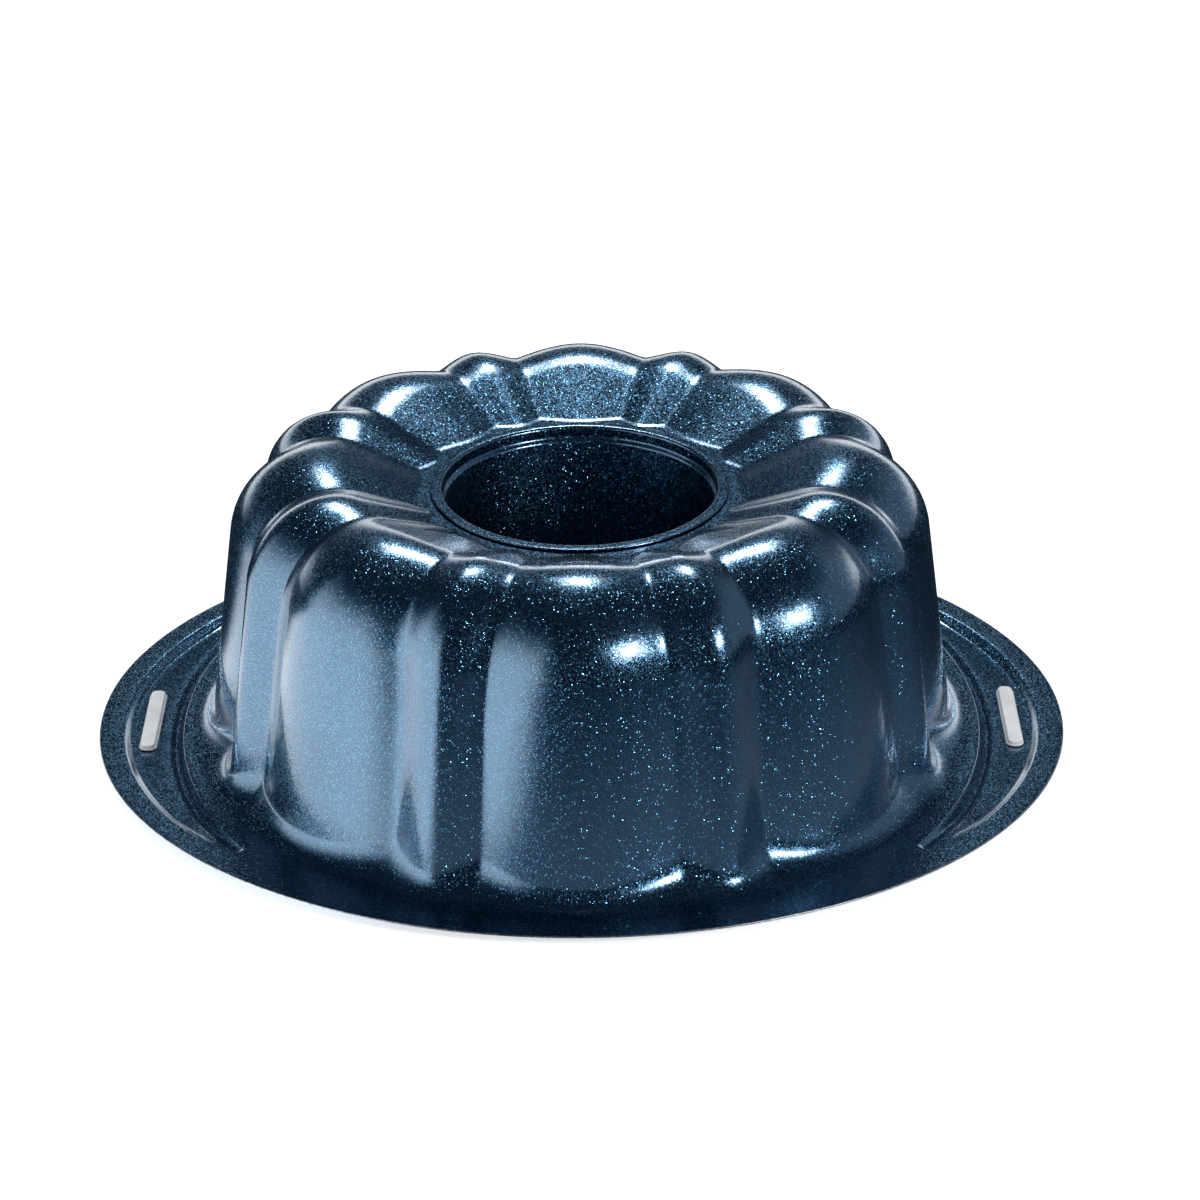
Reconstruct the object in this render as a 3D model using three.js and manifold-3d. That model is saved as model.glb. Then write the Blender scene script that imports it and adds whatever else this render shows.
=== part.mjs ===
// Fluted tube pan, shown turned over and standing on its rim: mouth down, moulded crown up.
// Millimetres, +Z up, origin on the rest plane below the pan's axis, front lobe towards -Y, handles on +-X.

import * as THREE from 'three';
import { mergeVertices } from 'three/addons/utils/BufferGeometryUtils.js';
import Module from 'manifold-3d';

// Sheet metal and fits
const SHEET = 0.7;                 // thickness of the pressed steel
const FIT_GAP = 0.3;               // clearance left where two pieces meet

// Fluted wall, measured on the outside of a wide lobe's crest
const MOUTH_RADIUS = 114.6;        // where the wall line meets the flange
const DRAFT = 7.5;                 // degrees, wall from vertical
const WALL_HEIGHT = 88.9;          // flange to the top of the crown
const CROWN_RADIUS = 26.4;         // round of the crown's cross-section
const FOOT_FILLET = 7;             // wall into flange
const INNER_SLOPE = 21;            // degrees, crown down to the centre seat
const SEAT_DROP = 10.5;            // crown top down to the flat seat round the tube
const SEAT_FILLET = 8;             // slope into seat

// Flutes: wide and narrow lobes in turn, with a crease between neighbours
const FLUTES = 8;                  // wide lobes, and as many narrow ones
const WIDE_SHARE = 0.68;           // wide lobe's part of one repeat
const NARROW_DIP = 0.05;           // narrow crest's sink, as a part of the crease depth
const NARROW_ROUND = 0.35;         // narrow crest's round, as a part of the lobe's half-width
const CREASE_AT_MOUTH = 5.1;       // crease depth where the wall meets the flange
const CREASE_AT_CROWN = 2.3;       // crease depth on top of the crown
const CREASE_DRAFT = 8;            // degrees, draft along a crease
const CREASE_CROWN_RADIUS = 24;    // crown round along a crease
const CREASE_FILLET = 12.9;        // crease into flange: its foot lies on the same round as the lobes'
const NARROW_SPREAD = 1.6;         // degrees that narrow lobes spread sideways over the crown
const SPREAD_START = 50;           // height above the flange where the spreading starts

// Flange, from the wall's foot out to the trimmed edge; handle widths are along the X axis
const FRONT_WIDTH = 9;             // foot to edge at front and back
const FOOT_TO_GROOVE = 2.2;
const GROOVE_WIDTH = 4.6;
const GROOVE_FLOOR = 2;
const PANEL_WIDTH = 11.4;          // sunk panel that holds the silicone insert
const STEP_RUN = 3.4;              // slope from the panel up to the rim band
const RIM_WIDTH = 6.9;             // flat rim band outside the panel
const PANEL_DEPTH = 2.2;
const GROOVE_DEPTH = 1.5;          // below the panel
const GROOVE_FLARE = 9;            // how far the groove swings out away from the handle's middle
const PANEL_FULL_ANGLE = 26;       // degrees from the handle's middle with the panel at full depth
const PANEL_END_ANGLE = 38;
const GROOVE_FULL_ANGLE = 38.5;
const GROOVE_END_ANGLE = 39.5;
const LEAST_BAND = 0.4;            // least width of a band where the handle's forms run together
const FLANGE_BLEND_ANGLE = 14;     // past the groove's end, handle widths give way to the plain flange

// Centre tube
const NECK_RADIUS = 41.6;          // inside of the tube's neck
const LIP_WIDTH = 3.6;             // lip lapped over the seat, outward from the neck
const NECK_DEPTH = 3.6;            // lip's top down to the shoulder
const SHOULDER = 1.1;              // step inward below the neck
const TUBE_TAPER = 4.7;            // degrees from vertical
const TUBE_CLEARANCE = 6;          // free end above the rest plane
const COLLAR_DEPTH = 3.5;          // shell's collar turned down round the neck
const COLLAR_ROUND = 1.2;
const LIP_ROUND = 1;

// Silicone grip inserts
const INSERT_LENGTH = 37;
const INSERT_WIDTH = 5.4;
const INSERT_HEIGHT = 1.6;
const INSERT_CHAMFER = 0.6;
const SLOT_LENGTH = 32;
const SLOT_WIDTH = 2.8;
const UNDER_HEAD_OVERLAP = 1;      // lower head past the slot on each side

// Facets
const WIDE_STEPS = 6;
const NARROW_STEPS = 4;
const TUBE_STEPS = 64;
const FILLET_STEPS = 3;
const CROWN_OUTER_STEPS = 7;       // crown's outer side, up to its top
const CROWN_INNER_STEPS = 2;       // crown's inner side
const END_STEPS = 6;

// Heights worked out from the rest plane up: the groove's underside stands at zero
const FLANGE_TOP = SHEET + GROOVE_DEPTH + PANEL_DEPTH;
const PANEL_TOP = FLANGE_TOP - PANEL_DEPTH;
const CROWN_TOP = FLANGE_TOP + WALL_HEIGHT;
const SEAT_TOP = CROWN_TOP - SEAT_DROP;
const LIP_TOP = SEAT_TOP + FIT_GAP + SHEET;

const radians = THREE.MathUtils.degToRad;
const mix = THREE.MathUtils.lerp;

// Points of an arc in the (radius, height) half-plane, both ends included.
function arc(radius, height, size, from, to, steps) {
  return Array.from({ length: steps + 1 }, (_, i) => {
    const angle = mix(from, to, i / steps);
    return new THREE.Vector2(radius + size * Math.cos(angle), height + size * Math.sin(angle));
  });
}

// Wall profile from the flange up, over the crown and down to the seat.
function wallProfile({ mouth, draft, top, crown, fillet }) {
  const lean = radians(draft);
  const slope = radians(INNER_SLOPE);
  const wallRadius = (height) => mouth - (height - FLANGE_TOP) * Math.tan(lean);
  const touch = FLANGE_TOP + fillet * (1 - Math.sin(lean));
  const footRadius = wallRadius(touch) + fillet * Math.cos(lean);
  const foot = arc(footRadius, FLANGE_TOP + fillet, fillet, -Math.PI / 2, lean - Math.PI, FILLET_STEPS);
  const crownHeight = top - crown;
  const crownCentre = wallRadius(crownHeight) - crown / Math.cos(lean);
  const outer = arc(crownCentre, crownHeight, crown, lean, Math.PI / 2, CROWN_OUTER_STEPS);
  const inner = arc(crownCentre, crownHeight, crown, Math.PI / 2, Math.PI / 2 + slope, CROWN_INNER_STEPS);
  const last = inner[inner.length - 1];
  const corner = last.x - (last.y - SEAT_TOP) / Math.tan(slope);
  const seatStart = corner - SEAT_FILLET * Math.tan(slope / 2);
  const down = arc(seatStart, SEAT_TOP + SEAT_FILLET, SEAT_FILLET, slope - Math.PI / 2, -Math.PI / 2, FILLET_STEPS);
  return [...foot, ...outer, ...inner.slice(1), ...down];
}

const crest = wallProfile({
  mouth: MOUTH_RADIUS, draft: DRAFT, top: CROWN_TOP, crown: CROWN_RADIUS, fillet: FOOT_FILLET,
});
const crease = wallProfile({
  mouth: MOUTH_RADIUS - CREASE_AT_MOUTH,
  draft: CREASE_DRAFT,
  top: CROWN_TOP - CREASE_AT_CROWN,
  crown: CREASE_CROWN_RADIUS,
  fillet: CREASE_FILLET,
});

// Flange sizes that follow from the wall's foot
const FOOT_RADIUS = crest[0].x;
const GROOVE_RADIUS = FOOT_RADIUS + FOOT_TO_GROOVE + GROOVE_WIDTH / 2;
const PANEL_MIDDLE = GROOVE_RADIUS + GROOVE_WIDTH / 2 + PANEL_WIDTH / 2;
const HALF_LENGTH = PANEL_MIDDLE + PANEL_WIDTH / 2 + STEP_RUN + RIM_WIDTH;
const HALF_WIDTH = FOOT_RADIUS + FRONT_WIDTH;
const HOLE_RADIUS = NECK_RADIUS + SHEET + FIT_GAP;

const REPEAT = 2 * Math.PI / FLUTES;
const WIDE_HALF = REPEAT * WIDE_SHARE / 2;
const NARROW_HALF = REPEAT / 2 - WIDE_HALF;

// Depth of the flutes at an angle round the axis: 0 on a wide crest, 1 in a crease.
function fluteDepth(angle) {
  const local = Math.abs(angle - REPEAT * Math.round(angle / REPEAT));
  if (local <= WIDE_HALF) {
    return (local / WIDE_HALF) ** 2;
  }
  const across = (REPEAT / 2 - local) / NARROW_HALF;
  const ridge = (Math.hypot(across, NARROW_ROUND) - NARROW_ROUND) / (Math.hypot(1, NARROW_ROUND) - NARROW_ROUND);
  return mix(NARROW_DIP, 1, ridge);
}

// Flange profile at an angle, from the trimmed edge in to the wall's foot.
function flangeProfile(angle, foot) {
  const fromHandle = THREE.MathUtils.radToDeg(Math.acos(Math.min(1, Math.abs(Math.sin(angle)))));
  const edge = 1 / Math.hypot(Math.sin(angle) / HALF_LENGTH, Math.cos(angle) / HALF_WIDTH);
  const groove = GROOVE_RADIUS + GROOVE_FLARE * Math.sin(radians(fromHandle)) ** 2;
  const panel = PANEL_DEPTH * (1 - THREE.MathUtils.smoothstep(fromHandle, PANEL_FULL_ANGLE, PANEL_END_ANGLE));
  const trench = GROOVE_DEPTH * (1 - THREE.MathUtils.smoothstep(fromHandle, GROOVE_FULL_ANGLE, GROOVE_END_ANGLE));
  const plain = THREE.MathUtils.smoothstep(fromHandle, GROOVE_END_ANGLE, GROOVE_END_ANGLE + FLANGE_BLEND_ANGLE);
  const grooveEdge = groove + GROOVE_WIDTH / 2;
  const panelEdge = Math.max(edge - RIM_WIDTH - STEP_RUN, grooveEdge + LEAST_BAND);
  const rimEdge = Math.max(edge - RIM_WIDTH, panelEdge + LEAST_BAND);
  const stations = [
    [edge, 0],
    [rimEdge, 0],
    [panelEdge, panel],
    [grooveEdge, panel],
    [groove + GROOVE_FLOOR / 2, panel + trench],
    [groove - GROOVE_FLOOR / 2, panel + trench],
    [groove - GROOVE_WIDTH / 2, 0],
  ];
  return stations.map(([radius, drop], i) => {
    const even = mix(edge, foot, i / stations.length);
    return new THREE.Vector2(mix(radius, even, plain), FLANGE_TOP - drop);
  });
}

// Seat's turned-down collar, from the flat seat in and down.
function collarProfile() {
  const round = arc(
    HOLE_RADIUS + COLLAR_ROUND, SEAT_TOP - COLLAR_ROUND, COLLAR_ROUND, Math.PI / 2, Math.PI, FILLET_STEPS);
  return [...round, new THREE.Vector2(HOLE_RADIUS, SEAT_TOP - COLLAR_DEPTH)];
}

// Other face of the sheet: the profile moved in by the sheet's thickness.
function sheetBack(profile) {
  const normals = profile.slice(1).map((point, i) => {
    const along = point.clone().sub(profile[i]).normalize();
    return new THREE.Vector2(along.y, -along.x);
  });
  return profile.map((point, i) => {
    const before = normals[Math.max(i - 1, 0)];
    const after = normals[Math.min(i, normals.length - 1)];
    const mitre = before.clone().add(after).divideScalar(1 + before.dot(after));
    return point.clone().addScaledVector(mitre, -SHEET);
  });
}

// Closed surface through rings of points that close on themselves and on each other.
function closedLoft(rings) {
  const across = rings[0].length;
  const index = [];
  rings.forEach((ring, i) => {
    const next = (i + 1) % rings.length;
    ring.forEach((_, j) => {
      const k = (j + 1) % across;
      const [a, b, c, d] = [i * across + j, i * across + k, next * across + k, next * across + j];
      index.push(a, c, b, a, d, c);
    });
  });
  const geometry = new THREE.BufferGeometry();
  geometry.setAttribute('position', new THREE.Float32BufferAttribute(rings.flat().flatMap((p) => p.toArray()), 3));
  geometry.setIndex(index);
  return geometry;
}

function withoutSeams(geometry) {
  geometry.deleteAttribute('normal');
  geometry.deleteAttribute('uv');
  return mergeVertices(geometry, 1e-4);
}

const wasm = await Module();
wasm.setup();

function toSolid(geometry) {
  const clean = withoutSeams(geometry);
  return new wasm.Manifold(new wasm.Mesh({
    numProp: 3,
    vertProperties: new Float32Array(clean.attributes.position.array),
    triVerts: new Uint32Array(clean.index.array),
  }));
}

function fromSolid(solid) {
  const { vertProperties, triVerts } = solid.getMesh();
  const geometry = new THREE.BufferGeometry();
  geometry.setAttribute('position', new THREE.Float32BufferAttribute(vertProperties, 3));
  geometry.setIndex(Array.from(triVerts));
  return geometry;
}

// Long round-ended outline along Y.
function slotShape(length, width) {
  const shape = new THREE.Shape();
  const reach = (length - width) / 2;
  shape.absarc(0, reach, width / 2, 0, Math.PI, false);
  shape.absarc(0, -reach, width / 2, Math.PI, 2 * Math.PI, false);
  shape.closePath();
  return shape;
}

// Upright solid on a slot outline, between two heights, with an optional chamfer round its top.
function slotSolid(length, width, bottom, top, chamfer = 0) {
  const geometry = new THREE.ExtrudeGeometry(slotShape(length - 2 * chamfer, width - 2 * chamfer), {
    depth: top - bottom - 2 * chamfer,
    bevelEnabled: chamfer > 0,
    bevelSize: chamfer,
    bevelThickness: chamfer,
    bevelSegments: 1,
    curveSegments: END_STEPS,
  });
  return geometry.translate(0, 0, bottom + chamfer);
}

// Point of the shell at a profile point: narrow lobes spread a little towards the crown.
function onShell(point, angle) {
  const share = THREE.MathUtils.smoothstep(point.y, FLANGE_TOP + SPREAD_START, CROWN_TOP);
  const turn = angle - radians(NARROW_SPREAD) * share * Math.sin(FLUTES * angle);
  return new THREE.Vector3(point.x * Math.sin(turn), -point.x * Math.cos(turn), point.y);
}

// Fluted shell: one pressing with its flange, handle panels and collar, and a slot for each insert.
function panShell() {
  const angles = [];
  for (let flute = 0; flute < FLUTES; flute += 1) {
    const middle = flute * REPEAT;
    for (let i = 0; i < WIDE_STEPS; i += 1) {
      angles.push(middle + mix(-WIDE_HALF, WIDE_HALF, i / WIDE_STEPS));
    }
    for (let i = 0; i < NARROW_STEPS; i += 1) {
      angles.push(middle + WIDE_HALF + mix(0, 2 * NARROW_HALF, i / NARROW_STEPS));
    }
  }
  for (const handle of [Math.PI / 2, 3 * Math.PI / 2]) {
    for (const end of [GROOVE_FULL_ANGLE, GROOVE_END_ANGLE]) {
      angles.push(handle - radians(end), handle + radians(end));
    }
  }
  angles.sort((a, b) => a - b);
  const rings = angles.map((angle) => {
    const depth = fluteDepth(angle);
    const wall = crest.map((point, i) => point.clone().lerp(crease[i], depth));
    const profile = [...flangeProfile(angle, wall[0].x), ...wall, ...collarProfile()];
    const outline = [...profile, ...sheetBack(profile).reverse()];
    return outline.map((point) => onShell(point, angle));
  });
  let solid = toSolid(closedLoft(rings));
  for (const side of [-1, 1]) {
    const slot = slotSolid(SLOT_LENGTH, SLOT_WIDTH, 0, FLANGE_TOP).translate(side * PANEL_MIDDLE, 0, 0);
    solid = solid.subtract(toSolid(slot));
  }
  return fromSolid(solid);
}

// Conical chimney with a shoulder, a neck inside the shell's collar and a lip lapped over the seat.
function centreTube() {
  const lipBottom = LIP_TOP - SHEET;
  const edge = SHEET / 2;
  const shoulderTop = LIP_TOP - NECK_DEPTH;
  const wallTop = shoulderTop - SHOULDER;
  const topRadius = NECK_RADIUS - SHOULDER;
  const endRadius = topRadius - (wallTop - TUBE_CLEARANCE) * Math.tan(radians(TUBE_TAPER));
  const round = LIP_ROUND;
  const inside = [
    new THREE.Vector2(endRadius, TUBE_CLEARANCE),
    new THREE.Vector2(topRadius, wallTop),
    new THREE.Vector2(NECK_RADIUS, shoulderTop),
    ...arc(NECK_RADIUS + round, LIP_TOP - round, round, Math.PI, Math.PI / 2, FILLET_STEPS),
  ];
  const rim = arc(NECK_RADIUS + LIP_WIDTH - edge, LIP_TOP - edge, edge, Math.PI / 2, -Math.PI / 2, FILLET_STEPS);
  const outside = [
    new THREE.Vector2(NECK_RADIUS + round, lipBottom),
    new THREE.Vector2(NECK_RADIUS + SHEET, LIP_TOP - round),
    new THREE.Vector2(NECK_RADIUS + SHEET, shoulderTop - SHEET / 2),
    new THREE.Vector2(topRadius + SHEET, wallTop - SHEET / 2),
    new THREE.Vector2(endRadius + SHEET, TUBE_CLEARANCE),
  ];
  const outline = [...inside, ...rim, ...outside];
  const rings = Array.from({ length: TUBE_STEPS }, (_, i) => {
    const angle = 2 * Math.PI * i / TUBE_STEPS;
    return outline.map((p) => new THREE.Vector3(p.x * Math.sin(angle), -p.x * Math.cos(angle), p.y));
  });
  return closedLoft(rings.map((ring) => ring.reverse()));
}

// Silicone insert: a chamfered head on the panel, a neck through the slot and a low head beneath.
function gripInsert() {
  const panelUnder = PANEL_TOP - SHEET;
  const head = slotSolid(
    INSERT_LENGTH, INSERT_WIDTH, PANEL_TOP + FIT_GAP, PANEL_TOP + FIT_GAP + INSERT_HEIGHT, INSERT_CHAMFER);
  const neck = slotSolid(
    SLOT_LENGTH - 2 * FIT_GAP, SLOT_WIDTH - 2 * FIT_GAP, panelUnder - 2 * FIT_GAP, PANEL_TOP + INSERT_HEIGHT / 2);
  const under = slotSolid(
    SLOT_LENGTH + 2 * UNDER_HEAD_OVERLAP, SLOT_WIDTH + 2 * UNDER_HEAD_OVERLAP, FIT_GAP, panelUnder - FIT_GAP);
  return fromSolid(toSolid(head).add(toSolid(neck)).add(toSolid(under)));
}

const coatedSteel = new THREE.MeshStandardMaterial({ color: 0x16273f, roughness: 0.32, metalness: 0.55 });
const silicone = new THREE.MeshStandardMaterial({ color: 0xd9dbdd, roughness: 0.5, metalness: 0 });

function piece(name, geometry, material) {
  const mesh = new THREE.Mesh(geometry, material);
  mesh.name = name;
  return mesh;
}

const pan = new THREE.Group();
pan.add(piece('pan_shell', panShell(), coatedSteel));
pan.add(piece('centre_tube', centreTube(), coatedSteel));
for (const [name, side] of [['grip_insert_left', -1], ['grip_insert_right', 1]]) {
  const insert = piece(name, gripInsert(), silicone);
  insert.position.x = side * PANEL_MIDDLE;
  pan.add(insert);
}

export default pan;
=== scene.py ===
"""Looks of a fluted tube pan, standing turned over on its rim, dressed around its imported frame.

The pan is two steel pressings under a dark blue non-stick coat with metal flake, and two silicone plugs in
its handles. Sizes are millimetres until a mesh is written, in the frame's own axes: +Z up, the front lobe
towards -Y.
"""

import logging
import math
from dataclasses import dataclass
from enum import Enum

import bpy
import numpy as np
from bpy.types import Material, Node, NodeSocket, NodeTree, Object
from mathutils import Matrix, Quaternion, Vector


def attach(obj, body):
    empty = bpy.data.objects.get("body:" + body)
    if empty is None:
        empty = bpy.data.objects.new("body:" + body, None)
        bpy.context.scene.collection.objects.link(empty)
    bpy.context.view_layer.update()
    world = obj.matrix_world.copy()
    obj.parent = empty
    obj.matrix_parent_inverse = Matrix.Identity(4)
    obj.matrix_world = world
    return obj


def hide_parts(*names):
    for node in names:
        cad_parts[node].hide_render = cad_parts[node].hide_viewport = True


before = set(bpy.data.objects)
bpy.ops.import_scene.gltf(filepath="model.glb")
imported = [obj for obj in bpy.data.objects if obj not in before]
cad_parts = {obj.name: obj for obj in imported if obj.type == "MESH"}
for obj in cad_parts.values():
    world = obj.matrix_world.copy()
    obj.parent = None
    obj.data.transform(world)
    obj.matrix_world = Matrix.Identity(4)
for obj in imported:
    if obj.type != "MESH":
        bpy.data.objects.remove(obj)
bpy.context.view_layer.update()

MM = 0.001
LEVEL = "level"                     # mesh attribute that holds a studio card's glow, its painted light and shade
SHARP_EDGE = math.radians(50)       # faces that meet at more than this keep a sharp edge
FULL_ROUND = 0.98                   # largest part of a half-width that the round of a corner takes up
WHITE_HEX = "ffffff"
CELL_MIDDLE = (0.5, 0.5, 0.5)       # mean of the random colours of a cell texture
NOISE_LOW, NOISE_HIGH = 0.35, 0.65  # most values of a noise texture lie between these
log = logging.getLogger("tube_pan")


class Side(Enum):
    """Handle side, valued by its sign along X."""

    LEFT = -1
    RIGHT = 1


def linear(hex_colour: str) -> tuple[float, float, float, float]:
    """Turn an sRGB hex colour into linear light.

    Args:
        hex_colour: six hex digits, such as "1b2c44".

    Returns:
        Linear red, green and blue, and an alpha of 1.
    """
    channels = [int(hex_colour[i:i + 2], 16) / 255 for i in (0, 2, 4)]
    red, green, blue = (c / 12.92 if c <= 0.04045 else ((c + 0.055) / 1.055) ** 2.4 for c in channels)
    return red, green, blue, 1.0


def per_metre(size_mm: float) -> float:
    """Texture scale that gives a pattern of the stated size in millimetres."""
    return 1 / (size_mm * MM)


def add_node(tree: NodeTree, kind: str, inputs: dict | None = None, **settings: str) -> Node:
    """Add a shader node with its settings, values and links.

    Args:
        tree: the node tree that takes the node.
        kind: the node's Blender type name.
        inputs: input names or numbers, each with a plain value or with the output socket that feeds it.
        **settings: values of the node's own properties.

    Returns:
        The new node.
    """
    node = tree.nodes.new(kind)
    for name, value in settings.items():
        setattr(node, name, value)
    for key, value in (inputs or {}).items():
        if isinstance(value, NodeSocket):
            tree.links.new(value, node.inputs[key])
        else:
            node.inputs[key].default_value = value
    return node


def new_material(name: str) -> tuple[Material, NodeTree, NodeSocket]:
    """Start a material of nodes.

    Args:
        name: the material's name.

    Returns:
        The material, its node tree and the place on the object, which patterns follow.
    """
    material = bpy.data.materials.new(name)
    material.use_nodes = True
    tree = material.node_tree
    tree.nodes.clear()
    return material, tree, add_node(tree, "ShaderNodeTexCoord").outputs["Object"]


def seen_or_mirrored(tree: NodeTree) -> NodeSocket:
    """Mask that is 1 for camera, glossy and transmission rays.

    Args:
        tree: the node tree that takes the mask.

    Returns:
        The mask socket.
    """
    path = add_node(tree, "ShaderNodeLightPath").outputs
    first = add_node(tree, "ShaderNodeMath", {0: path["Is Camera Ray"], 1: path["Is Glossy Ray"]},
                     operation="MAXIMUM")
    second = add_node(tree, "ShaderNodeMath", {0: first.outputs[0], 1: path["Is Transmission Ray"]},
                      operation="MAXIMUM")
    return second.outputs[0]


@dataclass(frozen=True)
class FlakedNonStickCoat:
    """Sprayed fluoropolymer non-stick coat with aluminium and blue mica flake, baked on steel.

    It gives the eye a near-black navy with pin-sharp blue glints, over which lamps and pale surroundings lie
    as soft grey-blue sheets.
    """

    name: str = "flaked_non_stick_coat_on_steel"
    flat_hex: str = "526e84"    # flakes that lie flat
    loose_hex: str = "507b9e"   # flakes that lie loose
    glint_hex: str = "76bee8"   # flakes that flash
    metallic: float = 1.0
    roughness: float = 0.13     # of the flakes that lie flattest
    rough_spread: float = 0.3   # how much rougher the others scatter
    loose_power: float = 3.0    # a higher power leaves fewer flakes loose
    loose_start: float = 0.05   # looseness at which the colour begins to turn
    loose_full: float = 0.6     # looseness at which it has turned
    glint_roughness: float = 0.25
    clear_roughness: float = 0.1    # of the clear layer over the flake
    clear_ior: float = 1.6
    grain_mm: float = 0.3       # real flake is about 0.05 mm: drawn coarser so that single flakes show
    glint_mm: float = 0.38      # spacing of the flakes that flash, drawn coarser in the same way
    grain_tilt: float = 0.14    # how far the flakes lie askew, as a part of the surface direction
    glint_tilt: float = 0.78    # the same for the flakes that flash
    glint_left_out: float = 0.45    # share of the cells without a flash
    glint_reach: float = 0.34       # radius of a flashing flake, as a part of its cell
    cloud_mm: float = 38.0      # spray passes leave faint clouds of this size
    cloud_depth: float = 0.18   # how much lighter or darker a cloud is

    def make(self) -> Material:
        """Build the material.

        Returns:
            The node material.
        """
        material, tree, place = new_material(self.name)
        grain = add_node(tree, "ShaderNodeTexVoronoi", {"Vector": place, "Scale": per_metre(self.grain_mm)})
        glint = add_node(tree, "ShaderNodeTexVoronoi", {"Vector": place, "Scale": per_metre(self.glint_mm)})
        clouds = add_node(tree, "ShaderNodeTexNoise", {"Vector": place, "Scale": per_metre(self.cloud_mm)})
        flash = self._flash(tree, glint)
        pick = add_node(tree, "ShaderNodeSeparateColor", {"Color": grain.outputs["Color"]})
        loose = add_node(tree, "ShaderNodeMath", {0: pick.outputs["Blue"], 1: self.loose_power},
                         operation="POWER").outputs[0]
        rough = add_node(tree, "ShaderNodeMapRange", {
            "Value": loose, "To Min": self.roughness, "To Max": self.roughness + self.rough_spread})
        scattered = add_node(tree, "ShaderNodeMix", {
            "Factor": flash, "A": rough.outputs["Result"], "B": self.glint_roughness}, data_type="FLOAT")
        shader = add_node(tree, "ShaderNodeBsdfPrincipled", {
            "Base Color": self._colour(tree, loose, clouds, flash), "Metallic": self.metallic,
            "Roughness": scattered.outputs["Result"], "Normal": self._flake_normal(tree, grain, glint, flash),
            "Coat Weight": 1.0, "Coat Roughness": self.clear_roughness, "Coat IOR": self.clear_ior})
        add_node(tree, "ShaderNodeOutputMaterial", {"Surface": shader.outputs["BSDF"]})
        return material

    def _colour(self, tree: NodeTree, loose: NodeSocket, clouds: Node, flash: NodeSocket) -> NodeSocket:
        """Reflecting colour of the coat: grey-blue where flakes lie flat, purer blue where they lie loose.

        Args:
            tree: the material's nodes.
            loose: how loosely each fine flake lies, 0 to 1.
            clouds: slow noise of the spray passes.
            flash: mask of the flakes that flash.

        Returns:
            The colour socket.
        """
        turned = add_node(tree, "ShaderNodeMapRange", {
            "Value": loose, "From Min": self.loose_start, "From Max": self.loose_full})
        fine = add_node(tree, "ShaderNodeMix", {
            "Factor": turned.outputs["Result"], "A": linear(self.flat_hex), "B": linear(self.loose_hex)},
            data_type="RGBA")
        cloudy = add_node(tree, "ShaderNodeMapRange", {
            "Value": clouds.outputs["Fac"], "To Min": 1 - self.cloud_depth, "To Max": 1 + self.cloud_depth})
        tinted = add_node(tree, "ShaderNodeMix", {
            "Factor": 1.0, "A": fine.outputs["Result"], "B": cloudy.outputs["Result"]},
            data_type="RGBA", blend_type="MULTIPLY")
        mixed = add_node(tree, "ShaderNodeMix", {
            "Factor": flash, "A": tinted.outputs["Result"], "B": linear(self.glint_hex)}, data_type="RGBA")
        return mixed.outputs["Result"]

    def _flash(self, tree: NodeTree, glint: Node) -> NodeSocket:
        """Mask of the flakes that flash: the middle of about every second cell.

        Args:
            tree: the material's nodes.
            glint: cells of the flashing flake.

        Returns:
            The mask socket, 0 to 1.
        """
        pick = add_node(tree, "ShaderNodeSeparateColor", {"Color": glint.outputs["Color"]})
        chosen = add_node(tree, "ShaderNodeMath", {0: pick.outputs["Green"], 1: self.glint_left_out},
                          operation="GREATER_THAN")
        middle = add_node(tree, "ShaderNodeMath", {0: glint.outputs["Distance"], 1: self.glint_reach},
                          operation="LESS_THAN")
        both = add_node(tree, "ShaderNodeMath", {0: chosen.outputs[0], 1: middle.outputs[0]},
                        operation="MULTIPLY")
        return both.outputs[0]

    def _flake_normal(self, tree: NodeTree, grain: Node, glint: Node, flash: NodeSocket) -> NodeSocket:
        """Surface direction under the clear layer: each flake lies a little askew.

        Args:
            tree: the material's nodes.
            grain: cells of the fine flake.
            glint: cells of the flashing flake.
            flash: mask of the flakes that flash.

        Returns:
            The direction socket.
        """
        lean = add_node(tree, "ShaderNodeNewGeometry").outputs["Normal"]
        flashing = add_node(tree, "ShaderNodeMath", {0: flash, 1: self.glint_tilt}, operation="MULTIPLY")
        for cells, tilt in ((grain, self.grain_tilt), (glint, flashing.outputs[0])):
            centred = add_node(tree, "ShaderNodeVectorMath", {0: cells.outputs["Color"], 1: CELL_MIDDLE},
                               operation="SUBTRACT")
            scaled = add_node(tree, "ShaderNodeVectorMath", {0: centred.outputs["Vector"], "Scale": tilt},
                              operation="SCALE")
            lean = add_node(tree, "ShaderNodeVectorMath", {0: lean, 1: scaled.outputs["Vector"]},
                            operation="ADD").outputs["Vector"]
        unit = add_node(tree, "ShaderNodeVectorMath", {0: lean}, operation="NORMALIZE")
        return unit.outputs["Vector"]


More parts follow.
